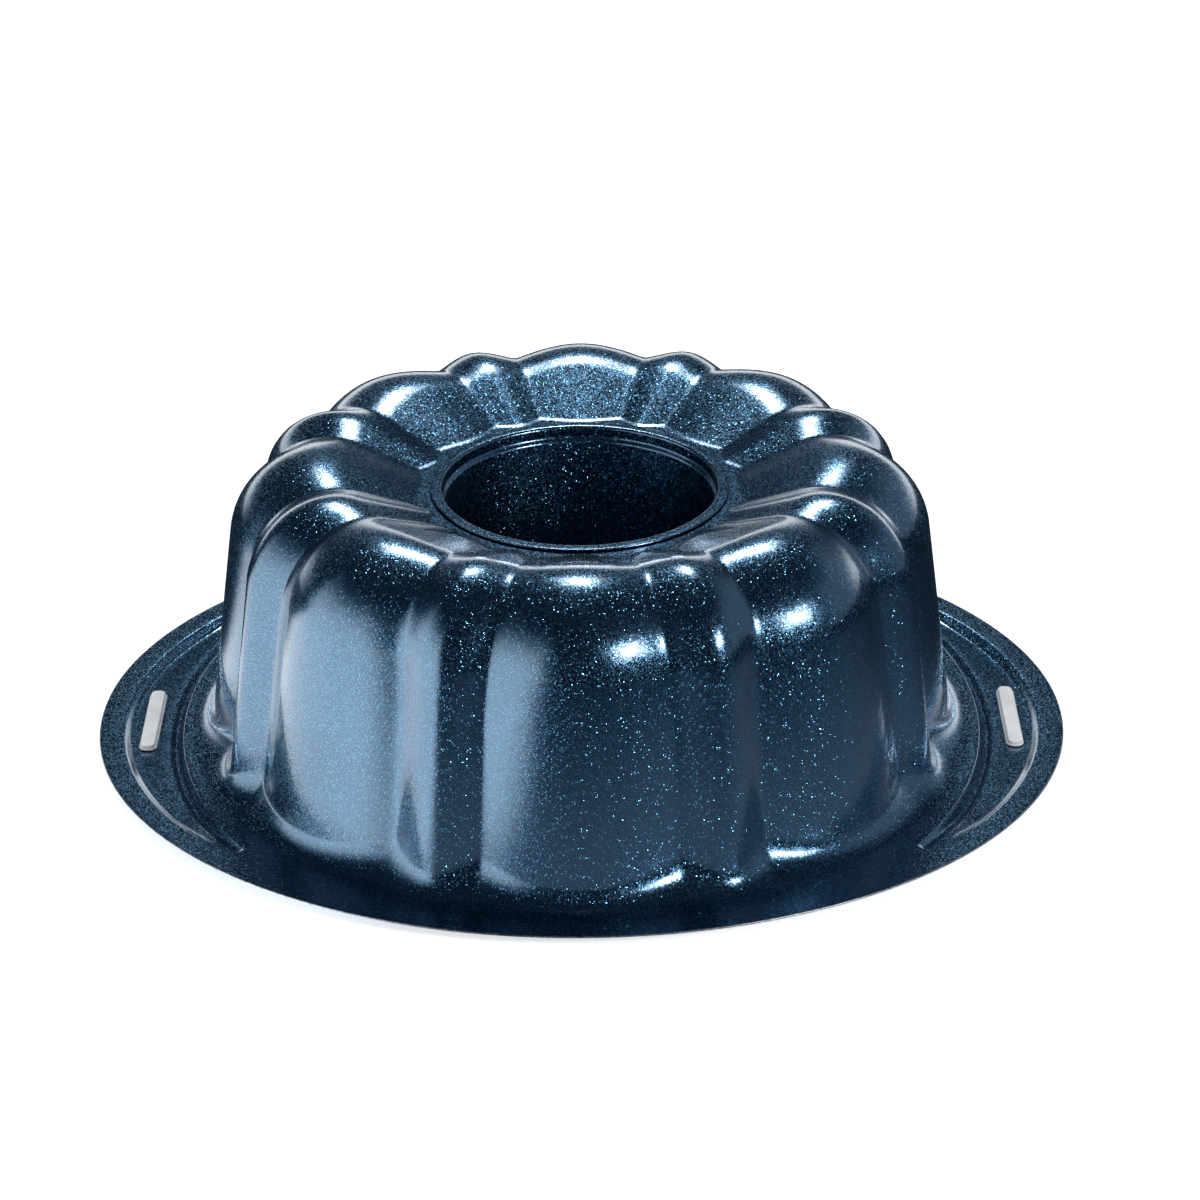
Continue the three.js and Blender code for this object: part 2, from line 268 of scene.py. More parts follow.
@dataclass(frozen=True)
class TrimmedSteelEdge:
    """Mild steel sheet, bare where the press trimmed the coated blank.

    It gives the eye a hair-thin pale line along the flange's edge, broken by the shear marks.
    """

    name: str = "bare_trimmed_steel_edge"
    bright_hex: str = "c9ccd0"
    dull_hex: str = "8f949b"
    metallic: float = 1.0
    roughness: float = 0.34
    rough_spread: float = 0.08
    shear_mm: float = 1.5       # length of a shear mark
    shear_detail: float = 3.0   # finer marks within it, in halvings of its length

    def make(self) -> Material:
        """Build the material.

        Returns:
            The node material.
        """
        material, tree, place = new_material(self.name)
        shear = add_node(tree, "ShaderNodeTexNoise", {
            "Vector": place, "Scale": per_metre(self.shear_mm), "Detail": self.shear_detail}).outputs["Fac"]
        mark = add_node(tree, "ShaderNodeMapRange", {
            "Value": shear, "From Min": NOISE_LOW, "From Max": NOISE_HIGH})
        tint = add_node(tree, "ShaderNodeMix", {
            "Factor": mark.outputs["Result"], "A": linear(self.dull_hex), "B": linear(self.bright_hex)},
            data_type="RGBA")
        rough = add_node(tree, "ShaderNodeMapRange", {
            "Value": shear, "To Min": self.roughness - self.rough_spread,
            "To Max": self.roughness + self.rough_spread})
        shader = add_node(tree, "ShaderNodeBsdfPrincipled", {
            "Base Color": tint.outputs["Result"], "Metallic": self.metallic,
            "Roughness": rough.outputs["Result"]})
        add_node(tree, "ShaderNodeOutputMaterial", {"Surface": shader.outputs["BSDF"]})
        return material


@dataclass(frozen=True)
class MouldedSilicone:
    """Food-grade silicone rubber, compression moulded in a spark-finished tool.

    It gives the eye a milky white that light sinks into, with a fine satin tooth and softly shining edges.
    """

    name: str = "moulded_milky_silicone"
    body_hex: str = "f4f5f6"
    shade_hex: str = "e4e8ea"
    roughness: float = 0.42
    rough_spread: float = 0.08
    ior: float = 1.41
    tooth_mm: float = 0.35      # the real tooth is near 0.1 mm: drawn coarser so that it shows
    tooth_depth_mm: float = 0.05
    tooth_strength: float = 0.25
    cloud_mm: float = 7.0       # size of the milky clouds
    cloud_detail: float = 3.0   # finer clouds within them, in halvings of their size
    sink_mm: float = 1.2        # how far light travels in the rubber
    sink_share: float = 0.35    # part of the light that sinks in
    sink_by_colour: tuple[float, float, float] = (1.0, 0.95, 0.9)

    def make(self) -> Material:
        """Build the material.

        Returns:
            The node material.
        """
        material, tree, place = new_material(self.name)
        clouds = add_node(tree, "ShaderNodeTexNoise", {
            "Vector": place, "Scale": per_metre(self.cloud_mm), "Detail": self.cloud_detail})
        tooth = add_node(tree, "ShaderNodeTexNoise", {
            "Vector": place, "Scale": per_metre(self.tooth_mm)}).outputs["Fac"]
        milk = add_node(tree, "ShaderNodeMapRange", {
            "Value": clouds.outputs["Fac"], "From Min": NOISE_LOW, "From Max": NOISE_HIGH})
        tint = add_node(tree, "ShaderNodeMix", {
            "Factor": milk.outputs["Result"], "A": linear(self.shade_hex), "B": linear(self.body_hex)},
            data_type="RGBA")
        rough = add_node(tree, "ShaderNodeMapRange", {
            "Value": tooth, "To Min": self.roughness - self.rough_spread,
            "To Max": self.roughness + self.rough_spread})
        bump = add_node(tree, "ShaderNodeBump", {
            "Strength": self.tooth_strength, "Distance": self.tooth_depth_mm * MM, "Height": tooth})
        shader = add_node(tree, "ShaderNodeBsdfPrincipled", {
            "Base Color": tint.outputs["Result"], "Roughness": rough.outputs["Result"], "IOR": self.ior,
            "Subsurface Weight": self.sink_share, "Subsurface Radius": self.sink_by_colour,
            "Subsurface Scale": self.sink_mm * MM, "Normal": bump.outputs["Normal"]})
        add_node(tree, "ShaderNodeOutputMaterial", {"Surface": shader.outputs["BSDF"]})
        return material


@dataclass(frozen=True)
class WhiteTableTop:
    """Matt white laminate table top, lit to a plain white, that keeps the pan's soft shadow."""

    name: str = "matt_white_table_top"
    top_hex: str = "f4f5f6"
    roughness: float = 0.8
    rough_spread: float = 0.05
    glow: float = 0.62          # part of the white that doesn't come from the lamps
    speck_mm: float = 3.0

    def make(self) -> Material:
        """Build the material.

        Returns:
            The node material.
        """
        material, tree, place = new_material(self.name)
        speck = add_node(tree, "ShaderNodeTexNoise", {"Vector": place, "Scale": per_metre(self.speck_mm)})
        rough = add_node(tree, "ShaderNodeMapRange", {
            "Value": speck.outputs["Fac"], "To Min": self.roughness - self.rough_spread,
            "To Max": self.roughness + self.rough_spread})
        diffuse = add_node(tree, "ShaderNodeBsdfDiffuse", {
            "Color": linear(self.top_hex), "Roughness": rough.outputs["Result"]})
        strength = add_node(tree, "ShaderNodeMath", {0: seen_or_mirrored(tree), 1: self.glow},
                            operation="MULTIPLY")
        glow = add_node(tree, "ShaderNodeEmission", {
            "Color": linear(WHITE_HEX), "Strength": strength.outputs[0]})
        both = add_node(tree, "ShaderNodeAddShader", {
            0: diffuse.outputs["BSDF"], 1: glow.outputs["Emission"]})
        add_node(tree, "ShaderNodeOutputMaterial", {"Surface": both.outputs["Shader"]})
        return material


@dataclass(frozen=True)
class GlowingReflectionCard:
    """Glowing studio card, seen in reflections only: its glow is a painted reflection of lit and shaded
    surroundings.

    Each corner of its mesh holds its own glow level: dark parts are blue as dusk, bright ones are white.
    """

    name: str
    dark_hex: str = "6096c0"
    bright_hex: str = "f5f7f9"
    speck_mm: float = 25.0
    speck_depth: float = 0.1

    def make(self) -> Material:
        """Build the material.

        Returns:
            The node material.
        """
        material, tree, place = new_material(self.name)
        level = add_node(tree, "ShaderNodeAttribute", attribute_name=LEVEL).outputs["Fac"]
        tint = add_node(tree, "ShaderNodeMix", {
            "Factor": level, "A": linear(self.dark_hex), "B": linear(self.bright_hex)}, data_type="RGBA")
        speck = add_node(tree, "ShaderNodeTexNoise", {"Vector": place, "Scale": per_metre(self.speck_mm)})
        uneven = add_node(tree, "ShaderNodeMapRange", {
            "Value": speck.outputs["Fac"], "To Min": 1 - self.speck_depth, "To Max": 1 + self.speck_depth})
        strength = add_node(tree, "ShaderNodeMath", {0: level, 1: uneven.outputs["Result"]},
                            operation="MULTIPLY")
        paint = add_node(tree, "ShaderNodeEmission", {
            "Color": tint.outputs["Result"], "Strength": strength.outputs[0]})
        add_node(tree, "ShaderNodeOutputMaterial", {"Surface": paint.outputs["Emission"]})
        material.cycles.emission_sampling = "NONE"
        return material


def ease(share: np.ndarray | float) -> np.ndarray:
    """Smooth step from 0 to 1, flat at both ends."""
    held = np.clip(share, 0.0, 1.0)
    return held * held * (3 - 2 * held)


def band(value: np.ndarray, start: float, full: float, fade: float, end: float) -> np.ndarray:
    """Soft-edged band: 0 up to the start, 1 between full and fade, 0 past the end.

    Args:
        value: the values to weigh.
        start: where the band begins to rise.
        full: where it has risen.
        fade: where it begins to fall.
        end: where it has fallen.

    Returns:
        A weight from 0 to 1 for each value.
    """
    return ease((value - start) / (full - start)) * (1 - ease((value - fade) / (end - fade)))


def arc(radius: float, height: float, size: float, start: float, end: float, steps: int) -> np.ndarray:
    """Points of an arc in the radius and height half-plane, both ends included.

    Args:
        radius: radius of the arc's centre from the pan's axis.
        height: height of the arc's centre.
        size: the arc's own radius.
        start: first angle in radians.
        end: last angle in radians.
        steps: number of segments.

    Returns:
        An array of (radius, height) rows.
    """
    angles = np.linspace(start, end, steps + 1)
    return np.stack([radius + size * np.cos(angles), height + size * np.sin(angles)], axis=1)


def stretch(first: np.ndarray, last: np.ndarray, steps: int) -> np.ndarray:
    """Inner points of a straight stretch.

    Args:
        first: the stretch's first point, left out.
        last: its last point, left out.
        steps: number of segments.

    Returns:
        An array of the points between the two.
    """
    share = np.linspace(0, 1, steps + 1)[1:-1, None]
    return first + (last - first) * share


def rounded_outline(corners: list[tuple[float, float, float]], steps: int) -> np.ndarray:
    """Closed outline whose corners are rounded.

    Args:
        corners: x, y and rounding radius of each corner, in order.
        steps: segments in each rounded corner.

    Returns:
        An array of (x, y) rows.
    """
    points = []
    count = len(corners)
    for i, (x, y, radius) in enumerate(corners):
        here = np.array((x, y))
        back = np.array(corners[i - 1][:2]) - here
        ahead = np.array(corners[(i + 1) % count][:2]) - here
        back, ahead = back / np.linalg.norm(back), ahead / np.linalg.norm(ahead)
        half = math.acos(float(np.clip(back @ ahead, -1, 1))) / 2
        reach = radius / math.tan(half)
        centre = here + (back + ahead) / np.linalg.norm(back + ahead) * radius / math.sin(half)
        first, last = here + back * reach - centre, here + ahead * reach - centre
        sweep = math.atan2(first[0] * last[1] - first[1] * last[0], float(first @ last))
        for turn in np.linspace(0, sweep, steps + 1):
            cos, sin = math.cos(turn), math.sin(turn)
            turned = (cos * first[0] - sin * first[1], sin * first[0] + cos * first[1])
            points.append(centre + np.array(turned))
    return np.array(points)


def bar_ring(middle: float, height: float, half_width: float, half_length: float, corner: float,
             steps: int) -> np.ndarray:
    """Ring of points round a bar with rounded corners that lies along Y.

    Args:
        middle: where its middle lies along X.
        height: height of the ring.
        half_width: half of its width along X.
        half_length: half of its length along Y.
        corner: radius of its corners.
        steps: segments in each corner.

    Returns:
        An array of (x, y, z) rows.
    """
    signs = ((1, -1), (1, 1), (-1, 1), (-1, -1))
    flat = rounded_outline([(x * half_width, y * half_length, corner) for x, y in signs], steps)
    return np.column_stack([middle + flat[:, 0], flat[:, 1], np.full(len(flat), height)])


def around_axis(radius: np.ndarray, angle: np.ndarray, height: np.ndarray | float) -> np.ndarray:
    """Points round the pan's axis, at angles in radians that start from the front."""
    radius, angle, height = np.broadcast_arrays(radius, angle, height)
    return np.stack([radius * np.sin(angle), -radius * np.cos(angle), height], axis=-1)


def mesh_object(name: str, points: np.ndarray, faces: list | np.ndarray) -> Object:
    """Make a smooth-shaded mesh object.

    Args:
        name: the object's name.
        points: vertices in millimetres, one per row.
        faces: vertex numbers of each face.

    Returns:
        The linked object.
    """
    mesh = bpy.data.meshes.new(name)
    mesh.from_pydata((points * MM).tolist(), [], [list(map(int, face)) for face in faces])
    mesh.validate()
    mesh.shade_smooth()
    piece = bpy.data.objects.new(name, mesh)
    bpy.context.collection.objects.link(piece)
    return piece


def grid_faces(rows: int, columns: int, close_rows: bool = False, close_columns: bool = False) -> np.ndarray:
    """Faces between neighbouring points of a grid that is numbered row by row.

    Args:
        rows: number of rows.
        columns: number of points in a row.
        close_rows: whether the last row joins the first one.
        close_columns: whether the last point of a row joins its first one.

    Returns:
        The four point numbers of each face.
    """
    last_row = rows if close_rows else rows - 1
    last_column = columns if close_columns else columns - 1
    i, j = np.meshgrid(np.arange(last_row), np.arange(last_column), indexing="ij")
    up, on = (i + 1) % rows, (j + 1) % columns
    faces = np.stack([i * columns + j, up * columns + j, up * columns + on, i * columns + on], axis=-1)
    return faces.reshape(-1, 4)


def closed_loft(name: str, rings: np.ndarray) -> Object:
    """Closed surface through rings of points that close on themselves and on each other."""
    faces = grid_faces(*rings.shape[:2], close_rows=True, close_columns=True)
    return mesh_object(name, rings.reshape(-1, 3), faces)


def capped_loft(name: str, rings: np.ndarray) -> Object:
    """Solid through closed rings from its underside to its top, with a flat face at either end.

    Args:
        name: the object's name.
        rings: points by ring and place, the lowest ring first and each ring anticlockwise from above.

    Returns:
        The linked object.
    """
    levels, count = rings.shape[:2]
    outwards = [0, 3, 2, 1]     # order of a face's corners that turns it to the outside
    sides = grid_faces(levels, count, close_columns=True)[:, outwards]
    bottom, top = range(count)[::-1], range((levels - 1) * count, levels * count)
    return mesh_object(name, rings.reshape(-1, 3), [*sides, bottom, top])


@dataclass(frozen=True)
class PanFinishes:
    """Materials of the pan, made once and shared by its pieces."""

    coat: Material
    edge: Material
    rubber: Material


def place_in_frame(piece: Object, finishes: list[Material], node: str) -> None:
    """Give a piece its finishes and its place in the frame.

    Args:
        piece: the visible piece.
        finishes: its materials, in the order that its faces number them.
        node: the frame's node that the piece stands for.
    """
    for finish in finishes:
        piece.data.materials.append(finish)
    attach(piece, "root")
    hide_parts(node)


@dataclass
class PanShell:
    """Fluted shell: wall, crown, seat with collar, and oval flange with handle panels.

    Sizes in mm, angles in degrees.
    """

    sheet: float = 0.7
    fit_gap: float = 0.3
    mouth_radius: float = 114.6
    draft: float = 7.5
    wall_height: float = 88.9
    crown_radius: float = 26.4
    foot_fillet: float = 7.0
    inner_slope: float = 21.0
    seat_drop: float = 10.5
    seat_fillet: float = 8.0
    flutes: int = 8
    wide_share: float = 0.68        # part of each repeat that the wide lobe takes up
    narrow_dip: float = 0.05        # depth of a narrow crest, as a part of a crease's depth
    narrow_round: float = 0.35      # round of a narrow crest, as a part of the lobe's half-width
    crease_at_mouth: float = 5.1    # depth of a crease at the mouth
    crease_at_crown: float = 2.3    # its depth on top of the crown
    crease_draft: float = 8.0
    crease_crown_radius: float = 24.0
    crease_fillet: float = 12.9
    crease_round: float = 1.0       # angle either side of a crease that its round takes up
    narrow_spread: float = 1.6      # angle by which a narrow lobe widens to either side up to the crown
    spread_start: float = 50.0      # height above the flange at which it begins to
    front_width: float = 9.0        # flange before the foot of the front lobe
    foot_to_groove: float = 2.2
    groove_width: float = 4.6
    groove_floor: float = 0.9
    panel_width: float = 11.4
    step_run: float = 3.4
    rim_width: float = 6.9
    panel_depth: float = 2.2
    groove_depth: float = 1.5
    groove_flare: float = 9.0       # how far the groove runs outwards as it leaves the X axis
    panel_full_angle: float = 26.0
    panel_end_angle: float = 38.0
    groove_full_angle: float = 38.5
    groove_end_angle: float = 39.5
    flange_blend_angle: float = 14.0    # angle past the groove in which the handle's bands even out
    least_band: float = 0.4         # least width of a band where the handle's forms run together
    hole_radius: float = 42.6
    collar_depth: float = 3.5
    collar_round: float = 1.2
    slot_length: float = 32.0
    slot_width: float = 2.8
    slot_cut: float = 1.0           # how far the slot's cut reaches below the rest plane
    slot_steps: int = 8
    wide_steps: int = 36
    narrow_steps: int = 24
    groove_end_steps: int = 12
    groove_end_margin: float = 1.0  # angle either side of a groove's end that takes these closer steps
    flange_steps: tuple[int, ...] = (4, 8, 4, 7, 3, 9, 3)   # in each band, from the rim in to the foot
    fillet_steps: int = 9
    wall_steps: int = 16
    crown_steps: int = 44
    slope_steps: int = 9
    seat_steps: int = 3
    collar_steps: int = 6
    rim_turns: tuple[float, ...] = (-60.0, -30.0, 0.0, 30.0, 60.0)  # places round the trimmed edge

    @property
    def flange_top(self) -> float:
        """Height of the flange's upper face above the rest plane."""
        return self.sheet + self.groove_depth + self.panel_depth

    @property
    def panel_top(self) -> float:
        """Height of the handle panel's upper face."""
        return self.flange_top - self.panel_depth

    @property
    def seat_top(self) -> float:
        """Height of the flat seat round the tube."""
        return self.flange_top + self.wall_height - self.seat_drop

    @property
    def foot_radius(self) -> float:
        """Radius where a wide lobe's fillet meets the flange."""
        return float(self.crest()[0, 0])

    @property
    def groove_radius(self) -> float:
        """Radius of the handle groove's middle on the X axis."""
        return self.foot_radius + self.foot_to_groove + self.groove_width / 2

    @property
    def panel_middle(self) -> float:
        """Radius of the middle of the handle panel on the X axis."""
        return self.groove_radius + self.groove_width / 2 + self.panel_width / 2

    @property
    def half_length(self) -> float:
        """Half of the flange's length over the handles."""
        return self.panel_middle + self.panel_width / 2 + self.step_run + self.rim_width

    @property
    def half_width(self) -> float:
        """Half of the flange's width, front to back."""
        return self.foot_radius + self.front_width

    def crest(self) -> np.ndarray:
        """Wall profile on a wide lobe's crest."""
        top = self.flange_top + self.wall_height
        return self._wall(self.mouth_radius, self.draft, top, self.crown_radius, self.foot_fillet)

    def crease(self) -> np.ndarray:
        """Wall profile along a crease.

        Returns:
            An array of (radius, height) rows.
        """
        top = self.flange_top + self.wall_height - self.crease_at_crown
        mouth = self.mouth_radius - self.crease_at_mouth
        return self._wall(mouth, self.crease_draft, top, self.crease_crown_radius, self.crease_fillet)

    def _wall(self, mouth: float, draft: float, top: float, crown: float, fillet: float) -> np.ndarray:
        """Profile from the flange up the wall, over the crown and down to the seat.

        Args:
            mouth: radius where the wall line meets the flange.
            draft: wall from vertical, in degrees.
            top: height of the crown's top.
            crown: radius of the crown's round.
            fillet: radius of the foot's fillet.

        Returns:
            An array of (radius, height) rows.
        """
        lean, slope = math.radians(draft), math.radians(self.inner_slope)
        base = self.flange_top

        def wall_radius(height: float) -> float:
            """Radius of the wall line at a height."""
            return mouth - (height - base) * math.tan(lean)

        touch = base + fillet * (1 - math.sin(lean))
        foot_radius = wall_radius(touch) + fillet * math.cos(lean)
        foot = arc(foot_radius, base + fillet, fillet, -math.pi / 2, lean - math.pi, self.fillet_steps)
        centre = wall_radius(top - crown) - crown / math.cos(lean)
        over = arc(centre, top - crown, crown, lean, math.pi / 2 + slope, self.crown_steps)
        corner = over[-1, 0] - (over[-1, 1] - self.seat_top) / math.tan(slope)
        seat_start = corner - self.seat_fillet * math.tan(slope / 2)
        down = arc(seat_start, self.seat_top + self.seat_fillet, self.seat_fillet,
                   slope - math.pi / 2, -math.pi / 2, self.fillet_steps)
        wall = stretch(foot[-1], over[0], self.wall_steps)
        inner = stretch(over[-1], down[0], self.slope_steps)
        return np.concatenate([foot, wall, over, inner, down])

    def _collar(self, seat_start: float) -> np.ndarray:
        """Flat seat and turned-down collar.

        Args:
            seat_start: radius where the seat begins.

        Returns:
            An array of (radius, height) rows.
        """
        turn = arc(self.hole_radius + self.collar_round, self.seat_top - self.collar_round, self.collar_round,
                   math.pi / 2, math.pi, self.collar_steps)
        end = np.array((self.hole_radius, self.seat_top - self.collar_depth))
        flat = stretch(np.array((seat_start, self.seat_top)), turn[0], self.seat_steps)
        return np.concatenate([flat, turn, stretch(turn[-1], end, self.seat_steps), end[None]])

    def _angles(self) -> np.ndarray:
        """Angles round the axis, closest together at the creases and the groove ends.

        Returns:
            Sorted angles in radians.
        """
        repeat = 360 / self.flutes
        wide, narrow = repeat * self.wide_share / 2, repeat * (1 - self.wide_share) / 2
        in_wide = -np.cos(np.linspace(0, math.pi, self.wide_steps + 1))[:-1] * wide
        in_narrow = repeat / 2 - np.cos(np.linspace(0, math.pi, self.narrow_steps + 1))[:-1] * narrow
        one = np.concatenate([in_wide, in_narrow])
        fluted = (one[None] + repeat * np.arange(self.flutes)[:, None]).ravel()
        first_end = self.groove_full_angle - self.groove_end_margin
        last_end = self.groove_end_angle + self.groove_end_margin
        ends = np.linspace(first_end, last_end, self.groove_end_steps)
        extra = np.concatenate([handle + sign * ends for handle in (90, 270) for sign in (-1, 1)])
        return np.radians(np.unique(np.round(np.concatenate([fluted, extra]) % 360, 3)))

    def flute_depth(self, angles: np.ndarray) -> np.ndarray:
        """Depth of the flutes: 0 on a wide crest and 1 in a rounded crease.

        Args:
            angles: angles round the axis in radians.

        Returns:
            A depth for each angle.
        """
        repeat = 360 / self.flutes
        local = np.abs((np.degrees(angles) + repeat / 2) % repeat - repeat / 2)
        wide = repeat * self.wide_share / 2
        narrow = repeat / 2 - wide
        in_wide = local <= wide
        half = np.where(in_wide, wide, narrow)
        away = np.abs(local - wide)
        soft = np.hypot(away, self.crease_round) - self.crease_round
        full = np.hypot(half, self.crease_round) - self.crease_round
        across = 1 - soft / full
        ridge = np.hypot(across, self.narrow_round) - self.narrow_round
        ridge = ridge / (math.hypot(1, self.narrow_round) - self.narrow_round)
        return np.where(in_wide, across ** 2, self.narrow_dip + (1 - self.narrow_dip) * ridge)

    def _flange(self, angles: np.ndarray, foot: np.ndarray) -> tuple[np.ndarray, np.ndarray]:
        """Flange from just inside the trimmed edge to the wall's foot.

        Args:
            angles: angles round the axis in radians.
            foot: radius of the foot at each angle.

        Returns:
            Radii and heights, one row per angle.
        """
        from_handle = np.degrees(np.arccos(np.clip(np.abs(np.sin(angles)), 0, 1)))
        edge = self.edge_radius(angles)
        groove = self.groove_radius + self.groove_flare * np.sin(np.radians(from_handle)) ** 2
        panel = self.panel_depth * (1 - ease((from_handle - self.panel_full_angle)
                                             / (self.panel_end_angle - self.panel_full_angle)))
        trench = self.groove_depth * (1 - ease((from_handle - self.groove_full_angle)
                                               / (self.groove_end_angle - self.groove_full_angle)))
        plain = ease((from_handle - self.groove_end_angle) / self.flange_blend_angle)
        level = np.zeros_like(edge)
        groove_edge = groove + self.groove_width / 2
        panel_edge = np.maximum(edge - self.rim_width - self.step_run, groove_edge + self.least_band)
        rim_edge = np.maximum(edge - self.rim_width, panel_edge + self.least_band)
        keys = [edge - self.sheet / 2, rim_edge, panel_edge, groove_edge, groove + self.groove_floor / 2,
                groove - self.groove_floor / 2, groove - self.groove_width / 2]
        drops = [level, level, panel, panel, panel + trench, panel + trench, level, level]
        even = [edge + (foot - edge) * i / len(keys) for i in range(len(keys))]
        radii = [keys[0]] + [key + (flat - key) * plain for key, flat in zip(keys[1:], even[1:])] + [foot]
        out_radius, out_height = [], []
        for i, steps in enumerate(self.flange_steps):
            for share in np.linspace(0, 1, steps + 1)[:-1]:
                out_radius.append(radii[i] + (radii[i + 1] - radii[i]) * share)
                out_height.append(self.flange_top - (drops[i] + (drops[i + 1] - drops[i]) * ease(share)))
        return np.stack(out_radius, axis=1), np.stack(out_height, axis=1)

    def edge_radius(self, angles: np.ndarray) -> np.ndarray:
        """Radius of the oval trimmed edge at each angle."""
        return 1 / np.hypot(np.sin(angles) / self.half_length, np.cos(angles) / self.half_width)

    def _turned(self, angles: np.ndarray, radius: np.ndarray, height: np.ndarray) -> np.ndarray:
        """Points on the shell: narrow lobes spread a little towards the crown.

        Args:
            angles: angle of each ring.
            radius: radii, one row per ring.
            height: heights, one row per ring.

        Returns:
            The xyz points.
        """
        share = ease((height - self.flange_top - self.spread_start) / (self.wall_height - self.spread_start))
        swing = math.radians(self.narrow_spread) * np.sin(self.flutes * angles)[:, None]
        turn = angles[:, None] - share * swing
        return around_axis(radius, turn, height)

    def build(self) -> Object:
        """Make the shell as one closed sheet of even thickness, with a slot in each handle.

        Faces on the trimmed edge take the second finish.

        Returns:
            The shell's object.
        """
        angles = self._angles()
        crest, crease = self.crest(), self.crease()
        depth = self.flute_depth(angles)[:, None, None]
        wall = crest + depth * (crease - crest)
        collar = np.stack([self._collar(start) for start in wall[:, -1, 0]])
        flange_radius, flange_height = self._flange(angles, wall[:, 0, 0])
        radius = np.concatenate([flange_radius, wall[..., 0], collar[..., 0]], axis=1)
        height = np.concatenate([flange_height, wall[..., 1], collar[..., 1]], axis=1)
        upper = self._turned(angles, radius, height)
        normal = self._normals(upper)
        normal[:, :flange_radius.shape[1] + 1] = (0, 0, 1)  # the flange's sheet is measured upright
        lower = upper - self.sheet * normal
        rim = self._rim(angles)
        rings = np.concatenate([upper, lower[:, ::-1], rim], axis=1)
        shell = closed_loft("pan_shell_pressing", rings)
        along = rings.shape[1]      # the rim's faces come last in each ring
        on_edge = np.arange(len(shell.data.polygons)) % along >= along - rim.shape[1] - 1
        shell.data.polygons.foreach_set("material_index", on_edge.astype(np.int32))
        for side in Side:
            self._cut_slot(shell, side)
        shell.data.set_sharp_from_angle(angle=SHARP_EDGE)
        return shell

    @staticmethod
    def dress(piece: Object, finishes: PanFinishes) -> None:
        """Coat the shell, with bare steel on its trimmed edge."""
        place_in_frame(piece, [finishes.coat, finishes.edge], "pan_shell")

    @staticmethod
    def _normals(grid: np.ndarray) -> np.ndarray:
        """Outward directions of a grid that closes round the axis.

        Args:
            grid: points by ring and place.

        Returns:
            Unit vectors of the same layout.
        """
        around = np.roll(grid, -1, axis=0) - np.roll(grid, 1, axis=0)
        along = np.gradient(grid, axis=1)
        normal = np.cross(around, along)
        return normal / np.linalg.norm(normal, axis=-1, keepdims=True)

    def _rim(self, angles: np.ndarray) -> np.ndarray:
        """Rounded trimmed edge, from the lower face round to the upper one.

        Args:
            angles: angle of each ring.

        Returns:
            The xyz points between the two faces.
        """
        half = self.sheet / 2
        turns = np.radians(self.rim_turns)
        around = angles[:, None]
        radius = self.edge_radius(around) - half + half * np.cos(turns)
        return around_axis(radius, around, self.flange_top - half + half * np.sin(turns))

    def _cut_slot(self, shell: Object, side: Side) -> None:
        """Cut the insert's slot through one handle panel.

        Args:
            shell: the shell's object.
            side: the handle to cut.
        """
        half_width = self.slot_width / 2
        rings = [bar_ring(side.value * self.panel_middle, height, half_width, self.slot_length / 2,
                          FULL_ROUND * half_width, self.slot_steps)
                 for height in (-self.slot_cut, self.flange_top)]
        cutter = capped_loft("slot_cutter", np.stack(rings))
        cut = shell.modifiers.new("slot", "BOOLEAN")
        cut.operation = "DIFFERENCE"
        cut.solver = "EXACT"
        cut.object = cutter
        graph = bpy.context.evaluated_depsgraph_get()
        finished = bpy.data.meshes.new_from_object(shell.evaluated_get(graph))
        shell.modifiers.clear()
        shell.data = finished
        bpy.data.objects.remove(cutter)


@dataclass
class CentreTube:
    """Open conical chimney with a shoulder, a neck and a lip lapped over the shell's seat.

    Sizes in mm, taper in degrees.
    """

    shell: PanShell
    neck_radius: float = 41.6
    lip_width: float = 3.6
    neck_depth: float = 3.6
    shoulder: float = 1.1       # how far the shoulder steps in, and down
    taper: float = 4.7
    clearance: float = 6.0      # height of the open end above the rest plane
    lip_round: float = 1.0
    shoulder_round: float = 1.2
    lip_root_round: float = 0.3
    around: int = 288
    round_steps: int = 6

    def build(self) -> Object:
        """Make the tube as one closed turned sheet.

        Returns:
            The tube's object.
        """
        sheet = self.shell.sheet
        lip_top = self.shell.seat_top + self.shell.fit_gap + sheet
        lip_edge = self.neck_radius + self.lip_width
        shoulder_top = lip_top - self.neck_depth
        wall_top = shoulder_top - self.shoulder
        top_radius = self.neck_radius - self.shoulder
        end_radius = top_radius - (wall_top - self.clearance) * math.tan(math.radians(self.taper))
        edge = FULL_ROUND * sheet / 2
        outline = rounded_outline([
            (end_radius, self.clearance, edge),
            (top_radius, wall_top, self.shoulder_round),
            (self.neck_radius, shoulder_top, self.shoulder_round),
            (self.neck_radius, lip_top, self.lip_round),
            (lip_edge, lip_top, edge),
            (lip_edge, lip_top - sheet, edge),
            (self.neck_radius + sheet, lip_top - sheet, self.lip_root_round),
            (self.neck_radius + sheet, shoulder_top - sheet / 2, self.shoulder_round),
            (top_radius + sheet, wall_top - sheet / 2, self.shoulder_round),
            (end_radius + sheet, self.clearance, edge),
        ], self.round_steps)
        angles = np.linspace(0, 2 * math.pi, self.around, endpoint=False)[:, None]
        radius, height = outline[::-1].T
        tube = closed_loft("centre_tube_pressing", around_axis(radius, angles, height))
        tube.data.set_sharp_from_angle(angle=SHARP_EDGE)
        return tube

    @staticmethod
    def dress(piece: Object, finishes: PanFinishes) -> None:
        """Coat the tube all over."""
        place_in_frame(piece, [finishes.coat], "centre_tube")


